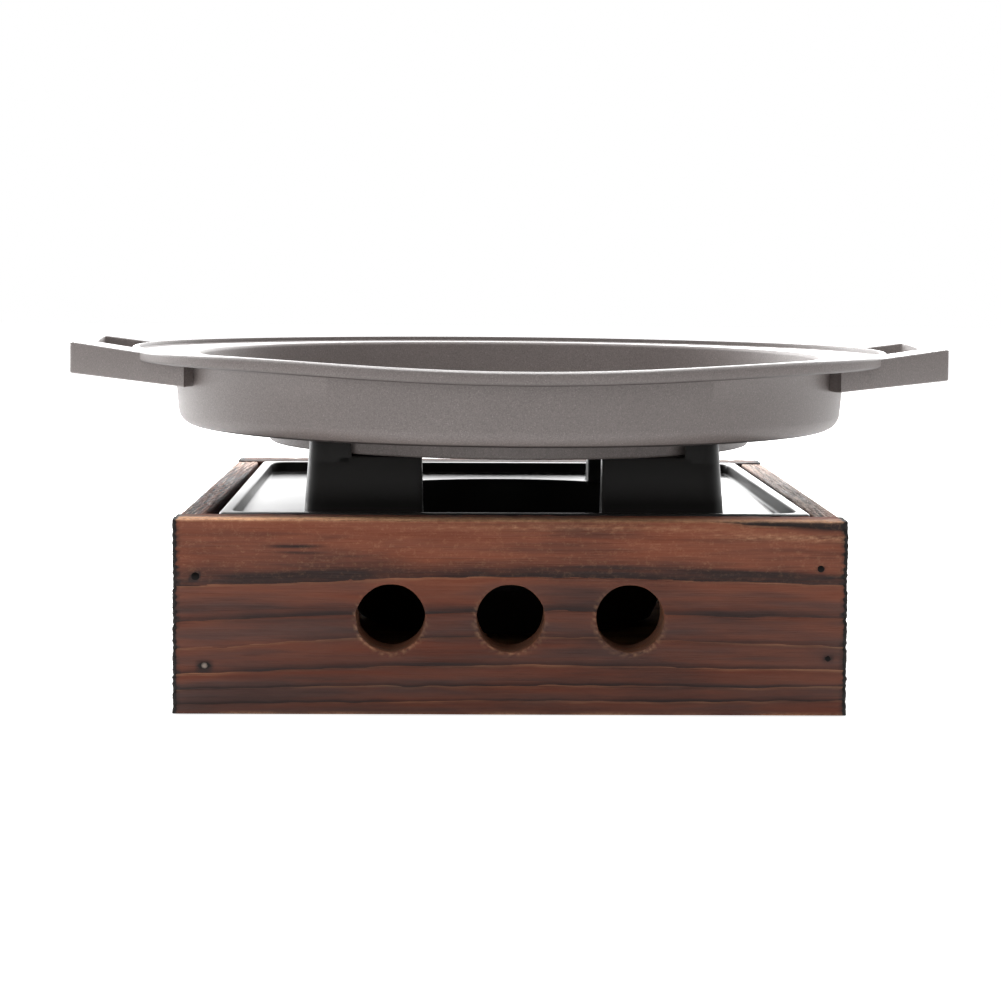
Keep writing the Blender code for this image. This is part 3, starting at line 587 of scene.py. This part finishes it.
# Side board: an outline with its rebate, carried along the board and closed at both ends
def makeSideBoard(node, side, rings, paleFrom, seed):
    half, thick, height = box["width"] / 2, box["thickness"], box["height"]
    length, floor = box["depth"] / 2 - thick - box["joint"], box["rebateFloor"]
    ledge = thick - box["rebateWidth"]
    corners = [(0, 0), (0, height), (ledge, height), (ledge, floor), (thick, floor), (thick, 0)]
    outline = softened(np.array(corners, float), 0.45, 5)
    inward, z, along = outline[None, :, 0], outline[None, :, 1], np.linspace(-length, length, 190)[:, None]
    slanted = ringHeight(z, inward) + 0 * along
    place = np.broadcast_to(along, slanted.shape)
    phase, under, gap, number = ringPhase(rings, place, slanted)
    onFace, onTop = unit(1 - inward / box["reliefDepth"]), unit(1 - (height - z) / 1.0)
    proud = box["endProud"] - 0.1 - box["relief"] * ringRecess(phase, under)
    x = half - inward + onFace * (proud + box["waviness"] * waves(place, slanted, 3.1, 1.3, seed + 3))
    # the top shows the rings end on, as arcs across the board
    crossWave = np.sin(2 * np.pi * (np.hypot(place - 260, inward * 6 - 40)) / 4.6)
    newZ = z - onTop * (0.14 * (1 + waves(place, inward, 12, 5, seed + 5)) + 0.06 * (1 + crossWave))
    # the top is darker towards the front and paler towards the back, in streaks and arcs
    far = smoothStep((place - paleFrom) / 60)
    streaks = waves(place, inward, 60, 2.6, seed + 6)
    # the outer top arris gets a little wear and painted highlight
    tags = {"ring": number + phase, "gap": gap, "worn": 0.15 * onTop * onFace,
            "char": 0.1 + onTop * (0.22 * (1 - far) + 0.9 * unit(-streaks) * (1 - 0.7 * far)),
            "warm": np.clip((slanted - 40) / 20, 0.1, 0.6),
            "bleach": onTop * unit(0.05 + 0.8 * far + 0.3 * crossWave * far + 0.5 * streaks)}
    shape = Shape()
    points = np.stack([side * x + box["middleX"], place, newZ], -1)
    tags = {key: np.broadcast_to(value, place.shape).ravel() for key, value in tags.items()}
    shape.bar(points, tags, {"char": 0.6, "gap": 5.0})
    shape.finish(node + "_brushed", "box", "scorched_wood", scorchedY, [node])


makeSideBoard("left_board", -1, plainRings(31), 40, 33)
makeSideBoard("right_board", 1, plainRings(41), -110, 43)


# nails
nail = {
    "headRadius": 1.25, "shankRadius": 0.8, "dome": 0.30, "sunk": -0.03, "headEdge": 1.0, "point": 2.0,
    "spare": 0.2,
}


# Nail: radius and depth along a profile, turned round the nail's axis. A corner nail's head is on the box's
# outside, a cleat nail's on its inside. All corner nails are sooty but the lower left ones.
def makeNail(node):
    low, high = [np.array(corner) * 1000 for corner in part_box(node)]
    size, middle, corner = high - low, (low + high) / 2, node.startswith("corner")
    axis = int(np.argmax(size))
    outward = np.sign(middle[axis]) * (1 if corner else -1)
    head, length, edge = (high if outward > 0 else low)[axis], size[axis] - nail["spare"], nail["headEdge"]
    share = np.linspace(0, math.pi / 2, 6)
    radii = np.append(nail["headRadius"] * np.sin(share),
                      [nail["headRadius"], nail["shankRadius"], nail["shankRadius"], 0.0])
    depths = np.append(nail["sunk"] + nail["dome"] * (1 - np.cos(share)),
                       [edge, edge + 0.1, length - nail["point"], length])
    angles = np.linspace(0, 2 * np.pi, 20, endpoint=False)
    across = [k for k in range(3) if k != axis]
    grid = np.zeros((len(radii), len(angles), 3))
    grid[..., axis] = head - outward * depths[:, None]
    grid[..., across] = middle[across] + radii[:, None, None] * around(angles)
    sooty = 1.0 if corner and (middle[2] > 30 or middle[0] > 0) else 0.0
    shape = Shape()
    shape.grid(grid, {"rim": np.repeat(sooty + unit(radii / nail["headRadius"]) ** 2, len(angles))})
    shape.finish(node + "_domed", "box", "nail_steel", nailSteel, [node])


for nodeName in sorted(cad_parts):
    if "nail" in nodeName:
        makeNail(nodeName)

# stove tray
stove = {
    "middleX": -0.6, "turn": 0.6, "width": 180.6, "leftTrim": 0.8, "depth": 178.8, "cornerRadius": 2.4,
    "rimTop": 58.4, "underside": 49.6, "floor": 54.3, "rimWidth": 3.6, "rimRound": 0.6, "lowRound": 0.5,
    "pocketCorner": 6.0, "pocketStep": 0.25, "pocketRound": 0.9, "wellRadius": 64.6, "wellRound": 0.8,
    "ledgeWidth": 5.0, "ledgeTop": 36.3, "skirtLow": 33.3, "skirtWall": 3.6, "skirtRound": 1.2,
    "towerShift": 0.9, "towerFoot": 66.4, "towerTop": 64.7, "postCorner": 7.0, "gap": 27.8, "backGap": 31.5,
    "flare": 0.6, "postLedge": 73.7, "lugTop": 79.4, "notchRadius": 83.3, "notchShift": 1.4,
}


def stovePlace(points):
    cosine, sine = around(math.radians(stove["turn"]))
    return points @ np.array([[cosine, sine, 0], [-sine, cosine, 0], [0, 0, 1]]) + (stove["middleX"], 0, 0)


# Tray: rings of equal point number from the skirt, round the outside, over the rim and back into the well
def makeTray():
    s = stove
    corner, pocketCorner, rim, well = s["cornerRadius"], s["pocketCorner"], s["rimWidth"], s["wellRadius"]
    under, top, floor, skirt = s["underside"], s["rimTop"], s["floor"], well + s["skirtWall"]
    rings, tags = [], []

    def add(outline, height, flat=0.0):
        rings.append(atHeight(outline, height))
        tags.append(flat)

    def rectangle(shrink, radius):
        width, depth = s["width"] - s["leftTrim"] - 2 * shrink, s["depth"] - 2 * shrink
        return roundedRectangle(width, depth, radius, 30, 10) + np.array([s["leftTrim"] / 2, 0])

    # shares of a quarter circle: how far round, across and up
    def quarter(turns):
        return [(turn, math.sin(turn * math.pi / 2), 1 - math.cos(turn * math.pi / 2)) for turn in turns]

    pocket = rectangle(rim + s["rimRound"], pocketCorner)
    angle = np.arctan2(pocket[:, 1], pocket[:, 0])
    circle = around(angle)

    def between(share, radius, height, flat=0.0):
        add(circle * radius * (1 - share) + pocket * share, height, flat)

    for radius, height in ((well - s["ledgeWidth"], s["ledgeTop"]), (well - s["ledgeWidth"], s["skirtLow"]),
                           (skirt - 0.4, s["skirtLow"]), (skirt, s["skirtLow"] + 0.4),
                           (skirt, under - s["skirtRound"]), (skirt + s["skirtRound"], under)):
        add(circle * radius, height)
    between(0.6, skirt, under)
    add(rectangle(s["lowRound"], corner - 0.2), under)
    for turn, side, up in quarter((0.35, 0.7, 1.0)):
        add(rectangle(s["lowRound"] * (1 - side), corner), under + s["lowRound"] * up)
    for turn, side, up in quarter(np.linspace(0, 1, 5)):
        add(rectangle(s["rimRound"] * up, corner), top - s["rimRound"] * (1 - side), turn)
    for turn, side, up in quarter(np.linspace(0, 1, 5)):
        add(rectangle(rim - s["rimRound"] * (1 - side), pocketCorner), top - s["rimRound"] * up, 1 - turn)
    step, bend = rim + s["pocketStep"], s["pocketRound"]
    add(rectangle(step, pocketCorner), floor + bend)
    for turn, side, up in quarter(np.linspace(0, 1, 5)):
        add(rectangle(step + bend * up, pocketCorner), floor + bend * (1 - side), turn)
    for share in (0.9, 0.66, 0.33, 0.1):
        between(share, well + s["wellRound"], floor, 1.0)
    for turn, side, up in quarter(np.linspace(0, 1, 4)):
        add(circle * (well + s["wellRound"] * (1 - side)), floor - s["wellRound"] * up, 1 - turn)
    add(circle * well, s["ledgeTop"])
    shape = Shape()
    shape.grid(stovePlace(np.stack(rings)), {"flat": np.repeat(tags, len(pocket))}, closed=True)
    addPosts(shape)
    shape.finish("stove_tray_cast", "stove", "black_cast_iron", blackIron, ["stove_tray"], 40)


# A closed outline carried up through levels (height, inset), with flat ends
def addBlock(shape, outlineAt, levels, passes):
    grid = []
    for height, inward in levels:
        outline = softened(outlineAt(height), 0.7, passes)
        count = len(grid[0]) if grid else len(outline)
        share = np.linspace(0, len(outline), count, endpoint=False)
        closed = np.vstack([outline, outline[:1]])
        even = np.stack([np.interp(share, np.arange(len(closed)), closed[:, k]) for k in (0, 1)], -1)
        grid.append(atHeight(inset(even, inward), height))
    shape.bar(stovePlace(np.stack(grid)))


# Post or lug in one corner of the tower, with a gap beside it: outer sides with a round corner, inner side on
# a circle, which is the well for a post and the notch round the pan for a lug
def postOutline(signX, signY, height, radius, centre, gapX, gapY):
    s = stove
    rise = (height - s["floor"]) / (s["lugTop"] - s["floor"])
    half = s["towerFoot"] + (s["towerTop"] - s["towerFoot"]) * rise
    corner, shift = s["postCorner"], s["towerShift"] * signX
    gapX, gapY = gapX + s["flare"] * rise, gapY + s["flare"] * rise
    bend = half - corner + around(np.linspace(math.pi / 2, 0, 14), corner) + (shift, 0)
    middle = centre * signX
    start = max(math.asin(gapY / radius), math.acos(min((half + shift - middle) / radius, 1)))
    stop = min(math.acos(gapX / radius), math.asin(min(half / radius, 1)))
    inner = around(np.linspace(start, stop, 60), radius) + (middle, 0)
    outline = np.vstack([[(inner[-1, 0], half)], bend, [(half + shift, inner[0, 1])], inner])
    return outline[::signX * -signY] * (signX, signY)


def addPosts(shape):
    s = stove
    rounding = np.array([(0.0, 0.0), (0.22, 0.03), (0.42, 0.13), (0.55, 0.3), (0.6, 0.6)])
    floor, ledge = s["floor"], s["postLedge"]
    post = [(floor - 1.5, -0.4), (floor, -0.4), (floor + 0.15, -0.12), (floor + 0.5, 0), (60, 0), (66, 0)]
    post += list(rounding + (ledge - 0.6, 0))
    lug = [(ledge - 2, 0), (ledge + 1, 0)] + list(rounding * (0.8, 0.7) + (s["lugTop"] - 0.5, 0))
    for signX in (-1, 1):
        for signY in (-1, 1):
            gapX = s["backGap"] if signY > 0 else s["gap"]

            def atPost(height):
                return postOutline(signX, signY, height, s["wellRadius"], 0, gapX, s["gap"])

            def atLug(height):
                notch = s["notchShift"] - s["middleX"]
                return postOutline(signX, signY, height, s["notchRadius"], notch, 0, 0)

            addBlock(shape, atPost, post, 4)
            addBlock(shape, atLug, lug, 1)


makeTray()
# pieces that stay as the CAD has them
kept = {"fire_bowl": blackIron, "charcoal_grate": bareIron, "left_cleat": plainWood, "right_cleat": plainWood,
        "base_panel": plainWood}
for nodeName, material in kept.items():
    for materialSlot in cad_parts[nodeName].material_slots:
        materialSlot.material = material

# grill pan
pan = {
    "turn": -0.5, "tilt": 0.18, "footRadius": 81.3, "footLow": 74.0, "footRound": 0.8, "bodyLow": 79.8,
    "bodyRadius": 111.8, "bodyTop": 113.0, "bodyFillet": 5.5, "flangeUnder": 101.0, "flangeTop": 103.7,
    "flangeRadius": 120.0, "sideExtra": 7.5, "lipHeight": 1.5, "wall": 8.6, "floorThickness": 5.8,
    "openingRound": 1.4, "innerFillet": 4.0, "innerRound": 1.0, "sag": 2.35, "sagHalf": 95.0,
    "sagMiddle": 3.0, "endRise": 0.45, "ribPitch": 14.0, "ribWidth": 3.0, "ribHeight": 3.6,
    "ribEndGap": 3.5,
}
# slotSkew and rootShift are given for the left and the right handle
handle = {
    "reach": 146.5, "slotFar": 139.0, "endHalf": 19.2, "rootX": 104.0, "rootHalf": 54.0, "slotHalf": 13.2,
    "endTop": 106.9, "endDepth": 10.5, "lowSlope": 0.058, "topSlope": 0.096, "edge": 0.6,
    "corner": 2.6, "slotCorner": 1.3, "rootCutX": 3.4, "rootCutY": 11.6, "rootRise": 3.6,
    "farRise": 1.0, "slotSkew": (1.0, -2.2), "rootShift": (0.0, 1.2), "divingEdge": 2.2, "divingDepth": 0.3,
}


def panPlace(points):
    tilt, turn = math.radians(pan["tilt"]), math.radians(pan["turn"])
    matrix = np.array(Matrix.Rotation(turn, 3, "Z") @ Matrix.Rotation(tilt, 3, "Y"))
    return points @ matrix.T


def arc(centre, radius, start, end, steps):
    return around(np.radians(np.linspace(start, end, steps)), radius) + centre


# Pan: a section turned about the upright axis; the flange is wider towards the handles and dips in front
def makePan():
    p = pan
    angles = np.linspace(0, 2 * np.pi, 360, endpoint=False)
    foot, footLow, bodyLow, bend = p["footRadius"], p["footLow"], p["bodyLow"], p["footRound"]
    body, thick, under, curve = p["bodyTop"], p["floorThickness"], p["flangeUnder"], p["innerRound"]
    inner, floor, lip = p["bodyRadius"] - p["wall"], bodyLow + thick, p["flangeTop"] + p["lipHeight"]
    edge = p["flangeRadius"] + p["sideExtra"] * np.cos(angles) ** 2
    across = (edge * np.cos(angles) - p["sagMiddle"]) / p["sagHalf"]
    sag = np.where((np.sin(angles) > 0) | (abs(across) > 1), 0, p["sag"] * (1 - across ** 2) ** 2)
    rise = p["endRise"] * np.cos(angles) ** 6
    radii, heights, tags = [], [], {"soot": [], "flat": []}

    def add(radius, height, soot=0.0, flat=0.0):
        radii.append(radius + 0 * angles)
        heights.append(height + 0 * angles)
        tags["soot"].append(soot)
        tags["flat"].append(flat)

    # lines of the section with their painted shade: underside of the foot, its side, underside of the body,
    # its wall
    fillet = p["bodyFillet"]
    turning = (p["bodyRadius"] - fillet, bodyLow + fillet)
    for line, soot in (([(0.0, footLow), (foot * 0.5, footLow), (foot - 1.2, footLow)], 1),
                       (arc((foot - bend, footLow + bend), bend, -80, 0, 5), 0),
                       ([(foot + 0.4, bodyLow - bend)], 0),
                       (arc((foot + 1.2, bodyLow - bend), bend, 180, 95, 4), 0.2),
                       ([(foot + 8, bodyLow)], 1), (arc(turning, fillet, -90, -63, 6), 1),
                       (arc(turning, fillet, -59, -2, 10), 0),
                       ([(p["bodyRadius"] + 0.6, 92.0), (body, under - 1.4)], 0)):
        for radius, height in line:
            add(radius, height, soot)
    # flange and lip: share of the flange's width, offset, height, painted shade, gloss
    for share, offset, height, soot, gloss in (
            (0, 0.35, under - 0.5, 0.5, 0), (0, 1.2, under - 0.05, 0.9, 0), (0.5, 0, under, 0.9, 0),
            (1, -1.1, under, 0.9, 0), (1, -0.5, under + 0.1, 0.9, 0), (1, -0.1, under + 0.5, 0.4, 0),
            (1, 0, under + 1.0, 0, 0), (1, 0, lip - 1.5, 0, 0), (1, -0.1, lip - 0.95, 0, 0.5),
            (1, -0.4, lip - 0.42, 0, 1), (1, -0.85, lip - 0.1, 0, 1), (1, -1.4, lip, 0, 0.8),
            (1, -2.45, lip, 0, 0.2), (1, -2.52, lip - 0.08, 0.2, 0), (1, -2.62, lip - 1.2, 0.2, 0),
            (1, -2.85, lip - 1.42, 0, 0.5), (1, -3.3, lip - 1.5, 0, 1)):
        radius = body + share * (edge - body) + offset
        add(radius, height + (rise - sag) * smoothStep((radius - body + 3) / 5), soot, gloss)
    # the flange rolls into the opening, and the inside goes down to the floor
    roll = p["openingRound"]
    opening = (body - p["wall"] + roll, p["flangeTop"] - roll)
    for step, (radius, height) in enumerate(arc(opening, roll, 90, 180, 9)):
        add(radius, height - sag, 0, max(1 - step / 4, 0))
    for line in ([(inner + 0.5, 95.0)],
                 arc((inner - p["innerFillet"], floor + p["innerFillet"]), p["innerFillet"], 0, -90, 8),
                 [(foot + 3.0, floor)], arc((foot - 2.4, floor - curve), curve, 90, 170, 4),
                 arc((foot - 6.6, footLow + thick + curve), curve, -10, -90, 4),
                 [(foot * 0.5, footLow + thick), (0.0, footLow + thick)]):
        for radius, height in line:
            add(radius, height)
    shape, radii = Shape(), np.stack(radii)
    grid = np.stack([radii * np.cos(angles), radii * np.sin(angles), np.stack(heights)], -1)
    shape.grid(panPlace(grid), {key: np.repeat(values, len(angles)) for key, values in tags.items()})
    for side in (-1, 1):
        addHandle(shape, side)
    addRibs(shape)
    shape.finish("grill_pan_cast", "pan", "grey_cast_iron", greyIron, ["grill_pan"], 40)


# Rounded rectangle section between an inner and an outer line, carried along both lines. Each point of the
# section is a share of the straight half width and half height, plus its part of the rounding. The top has
# more points than the other sides, because it dives under the flange.
def addBand(shape, outer, inner, low, high, edge):
    turn, top = np.linspace(0, np.pi / 2, 5), np.linspace(1, -1, 12)[1:-1]
    cosine, sine, full = np.cos(turn), np.sin(turn), np.ones(5)
    acrossShare = np.concatenate([full, top, -full, -full, full])
    acrossRound = np.concatenate([cosine, 0 * top, -sine, -cosine, sine])
    upShare = np.concatenate([full, 1 + 0 * top, full, -full, -full])
    upRound = np.concatenate([sine, 1 + 0 * top, cosine, -sine, -cosine])
    width = np.linalg.norm(inner - outer, axis=1)[:, None]
    section = (width / 2 - edge) * acrossShare + edge * acrossRound
    high, low = high[:, None], low[:, None]
    heights = (high + low) / 2 + ((high - low) / 2 - edge) * upShare + edge * upRound
    place = ((outer + inner) / 2)[:, None] + ((outer - inner) / width)[:, None] * section[..., None]
    fromMiddle = np.hypot(place[..., 0], place[..., 1])
    flangeEdge = pan["flangeRadius"] + pan["sideExtra"] * (place[..., 0] / fromMiddle) ** 2
    dives = fromMiddle < flangeEdge - handle["divingEdge"]
    heights = np.where(dives, np.minimum(heights, pan["flangeTop"] - handle["divingDepth"]), heights)
    # painted shade: a dark line where the band passes under the flange's edge
    away = abs(fromMiddle - pan["flangeRadius"] - pan["sideExtra"] * 0.9)
    soot = 0.6 * unit(1 - away / 1.4) * (heights < high - 1.0) * (heights > high - 6.0)
    flat = unit((heights - high + edge) / (0.6 * edge))
    shape.bar(panPlace(np.dstack([place, heights])), {"flat": flat.ravel(), "soot": soot.ravel()})


# Loop handle: the outer line is a blunt wedge with round corners, the inner line its slot
def addHandle(shape, side):
    h = handle
    slope = (h["rootHalf"] - h["endHalf"]) / (h["reach"] - h["rootX"])
    lean = math.atan(slope)

    def corner(x, half, radius):
        gap = radius * math.tan((math.pi / 2 - lean) / 2)
        return around(np.linspace(lean - math.pi / 2, 0, 9), radius) + (x - radius, gap - half)

    # half of a line: the arm's end turns short and sweeps into the pan's wall, then the arm and its corner
    def half(root, sweep, corner):
        share = np.linspace(0, 1, 40)[:-1, None]
        return np.vstack([root + sweep, root * (1 - share) + corner[0] * share, corner])

    # the bar at the end, and the other half as a mirror picture
    def whole(line):
        share, mirror = np.linspace(0, 1, 10)[1:-1, None], np.array([1, -1])
        return np.vstack([line, line[-1] * (1 - share) + line[-1] * mirror * share, (line * mirror)[::-1]])

    sweep = np.array([(-3.8, 6.4), (-2.8, 5.1), (-1.9, 3.8), (-1.1, 2.5), (-0.45, 1.2), (-0.1, 0.4)])
    root = np.array([h["rootX"], -h["rootHalf"]]) + h["rootShift"][side > 0] * np.array([1, slope])
    innerRoot = root + np.array([-h["rootCutX"], h["rootCutY"]])
    outer = whole(half(root, sweep, corner(h["reach"], h["endHalf"], h["corner"])))
    inner = whole(half(innerRoot, 0.3 * sweep, corner(h["slotFar"], h["slotHalf"], h["slotCorner"])))
    x, y = outer.T
    # the lower side slopes and rises at the root; the top slopes and is higher at the bar's far side
    low = h["endTop"] - h["endDepth"] - h["lowSlope"] * (h["reach"] - x)
    low = low + h["rootRise"] * (np.maximum(h["rootX"] - x, 0) / 5) ** 1.5
    top = h["endTop"] - h["topSlope"] * (h["reach"] - x)
    top = top + h["farRise"] * smoothStep((y + 15) / 30) * unit((x - 129) / 17)
    # the slot's outer edge slants
    skew = unit(inner[:, 1] / h["slotHalf"] / 2 + 0.5) * unit((inner[:, 0] - 118) / 21)
    inner = inner + h["slotSkew"][side > 0] * skew[:, None] * np.array([1, 0])
    flip = np.array([side, 1])
    addBand(shape, outer * flip, inner * flip, low, np.maximum(top, low + 3), h["edge"])


# Ribs: long rounded bars on the pan's floor, each a half-round section between rounded ends
def addRibs(shape):
    p = pan
    floor, width = p["footLow"] + p["floorThickness"], p["ribWidth"]
    circle = p["footRadius"] - p["floorThickness"] - p["ribEndGap"]
    each = int((circle - p["ribPitch"] / 2) / p["ribPitch"])
    for y in np.arange(-each, each + 1) * p["ribPitch"]:
        reach = math.sqrt(circle ** 2 - y ** 2)
        rings = []
        for height, inward in ((-1.5, 0), (p["ribHeight"] * 0.55, 0), (p["ribHeight"] * 0.8, 0.22),
                               (p["ribHeight"] * 0.95, 0.6), (p["ribHeight"], 1.1)):
            across = width - 2 * inward
            outline = roundedRectangle(2 * (reach - inward), across, 0.49 * across, 6, 5)
            rings.append(atHeight(outline + np.array([0, y]), floor + height))
        shape.bar(panPlace(np.stack(rings)))


makePan()

# floor, light and camera, in metres
studio = {
    "ambient": 0.32, "camera": 1.0, "behind": 1.0, "front": 0.10, "floorReach": 4.0, "floorLevel": -0.0004,
    "floorColour": (0.86, 0.86, 0.86), "floorGlow": 0.85, "white": (1, 1, 1),
}
# place, height of the point that it faces, width and height, power
lamps = {
    "left_softbox": ((-0.74, 0.95, 0.5), 0.06, (0.9, 0.9), 21.0),
    "right_softbox": ((0.50, 1.10, 0.5), 0.06, (0.8, 0.8), 7.6),
    "top_softbox": ((0.0, 0.1, 1.2), 0.05, (1.0, 1.0), 12.0),
    "front_fill": ((-1.00, -1.62, 0.55), 0.05, (1.2, 0.7), 7.0),
    "back_softbox": ((0.0, 1.6, 0.75), 0.10, (3.2, 1.1), 22.0),
}
# the camera solved from the photograph; angles in degrees, lens and sensor in millimetres
view = {
    "place": (-0.01607, -0.77614, 0.13456), "heading": -0.990, "pitch": 2.978, "roll": 0.373, "lens": 81.83,
    "sensor": 36.0, "shiftY": -0.11988,
}


# Empties a node tree and gives it a new output
def emptied(owner, output):
    owner.use_nodes = True
    tree = owner.node_tree
    tree.nodes.clear()
    return Sock(tree), tree.nodes.new(output).inputs["Surface"]


# Floor: matte for the light that falls on it, and a white glow for the camera and for gloss
def makeFloor():
    material = bpy.data.materials.new("pale_floor")
    make, surface = emptied(material, "ShaderNodeOutputMaterial")
    seen = make.ray("Is Camera Ray") + make.ray("Is Glossy Ray") + make.ray("Is Transmission Ray")
    matte = make.add("ShaderNodeBsdfDiffuse", {}, {"Color": studio["floorColour"]})
    strength = seen * studio["floorGlow"]
    glow = make.add("ShaderNodeEmission", {}, {"Color": studio["white"], "Strength": strength})
    make.put(surface, make.add("ShaderNodeAddShader", {}, {0: matte, 1: glow}))
    mesh = bpy.data.meshes.new("studio_floor")
    reach, level = studio["floorReach"], studio["floorLevel"]
    corners = [(x * reach, y * reach, level) for x, y in ((-1, -1), (1, -1), (1, 1), (-1, 1))]
    mesh.from_pydata(corners, [], [(0, 1, 2, 3)])
    mesh.materials.append(material)
    floor = linked("studio_floor", mesh)


# World: white for the camera; for gloss, white behind and above the object and dim in front of it
def makeWorld():
    world = bpy.data.worlds.new("studio_world")
    scene.world = world
    make, surface = emptied(world, "ShaderNodeOutputWorld")
    camera, glossy = make.ray("Is Camera Ray"), make.ray("Is Glossy Ray")
    direction = make.add("ShaderNodeTexCoord", output="Generated")
    along, height = [make.add("ShaderNodeSeparateXYZ", {}, {0: direction}, axis) for axis in (1, 2)]
    white = (along + height * 0.5).spread(-0.15, 0.35, studio["front"], studio["behind"])
    strength = camera * studio["camera"] + (1 - camera) * (glossy * white + (1 - glossy) * studio["ambient"])
    make.put(surface, make.add("ShaderNodeBackground", {}, {"Color": studio["white"], "Strength": strength}))


def addLamps():
    for name, (place, faces, size, power) in lamps.items():
        light = bpy.data.lights.new(name, "AREA")
        light.shape, light.size, light.size_y, light.energy = "RECTANGLE", size[0], size[1], power
        lamp = linked(name, light)
        lamp.location = place
        lamp.visible_camera, lamp.visible_glossy = False, name != "front_fill"
        lamp.rotation_euler = (Vector((0, 0, faces)) - Vector(place)).to_track_quat("-Z", "Y").to_euler()


def addCamera():
    data = bpy.data.cameras.new("camera")
    data.lens, data.sensor_width, data.shift_y = view["lens"], view["sensor"], view["shiftY"]
    data.clip_start, data.clip_end = 0.01, 50
    camera = linked("camera", data)
    place = Matrix.Translation(view["place"])
    for degrees, axis in ((view["heading"], "Z"), (90 - view["pitch"], "X"), (view["roll"], "Z")):
        place = place @ Matrix.Rotation(math.radians(degrees), 4, axis)
    camera.matrix_world = place
    scene.camera = camera


makeFloor()
makeWorld()
addLamps()
addCamera()
scene.view_settings.view_transform = "Standard"
print("studio made")
